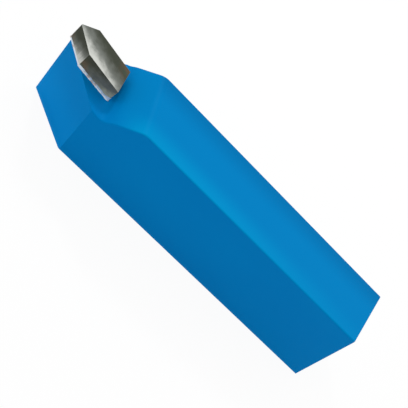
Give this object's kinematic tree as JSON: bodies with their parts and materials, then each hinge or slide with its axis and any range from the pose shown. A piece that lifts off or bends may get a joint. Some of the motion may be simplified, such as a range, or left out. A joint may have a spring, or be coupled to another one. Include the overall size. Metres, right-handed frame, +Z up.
{
  "type": "lathe turning tool",
  "caption": "Rigid lathe turning tool: a painted rectangular steel shank slopes down to a seat that carries a pointed carbide tip, brazed on, with a raked top face and relieved flanks.",
  "frame": {"origin": "middle of the tool's outline seen from above, on the bottom face of the shank", "axes": "+X forward along the shank to the nose, +Y to the tool's left, +Z up from the bottom face to the top face"},
  "size_m": [0.14, 0.025, 0.0334],
  "materials": {
    "shank": "satin blue paint over steel",
    "carbide_tip": "ground cemented carbide",
    "braze_layer": "set braze metal, dull"
  },
  "bodies": {
    "root": {"shank": "shank", "carbide_tip": "carbide_tip", "braze_layer": "braze_layer"}
  },
  "joints": []
}
